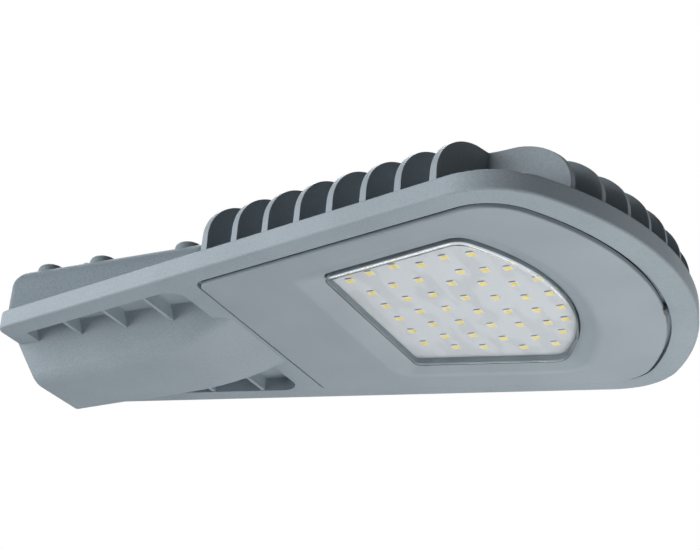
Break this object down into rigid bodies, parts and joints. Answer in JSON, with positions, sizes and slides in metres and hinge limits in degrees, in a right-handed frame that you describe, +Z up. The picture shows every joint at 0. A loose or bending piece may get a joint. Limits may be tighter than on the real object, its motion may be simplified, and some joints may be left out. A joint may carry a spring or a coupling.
{
  "type": "led street light head",
  "caption": "Flat die-cast street light head with a finned top, a pole socket at the rear and a glazed window for its LEDs underneath.",
  "frame": {"origin": "centre of the pole socket's mouth, on the socket's axis", "axes": "+X from the socket to the nose, +Y across, +Z up"},
  "size_m": [0.4559, 0.293, 0.0753],
  "materials": {
    "cast_body": "satin powder coat",
    "cast_cover": "satin powder coat",
    "cast_plate": "satin powder coat",
    "steel": "zinc plated",
    "seal": "matt",
    "lens": "clear",
    "frame_steel": "plain",
    "board_white": "white solder mask",
    "phosphor": "satin",
    "pad_grey": "matt",
    "driver_case": "satin",
    "white_plastic": "matt",
    "black_plastic": "matt",
    "catch_plastic": "matt"
  },
  "bodies": {
    "root": {"housing": "cast_body", "bay_cover": "cast_cover", "bay_gasket": "seal", "bay_cover_screws": "steel", "clamp_saddle": "cast_cover", "clamp_washers": "steel", "clamp_bolts": "steel", "driver": "driver_case", "driver_screws": "steel", "terminal_block": "white_plastic", "terminal_screws": "steel", "surge_protector": "black_plastic", "surge_screws": "steel", "earth_screw": "steel", "lead_gland": "black_plastic", "breather": "black_plastic", "lens_plate": "cast_plate", "plate_gasket": "seal", "plate_screws": "steel", "plate_catch": "catch_plastic", "clear_lens": "lens", "lens_gasket": "seal", "lens_retainer": "frame_steel", "retainer_screws": "steel", "led_board": "board_white", "thermal_pad": "pad_grey", "led_chips": "phosphor"}
  },
  "joints": []
}
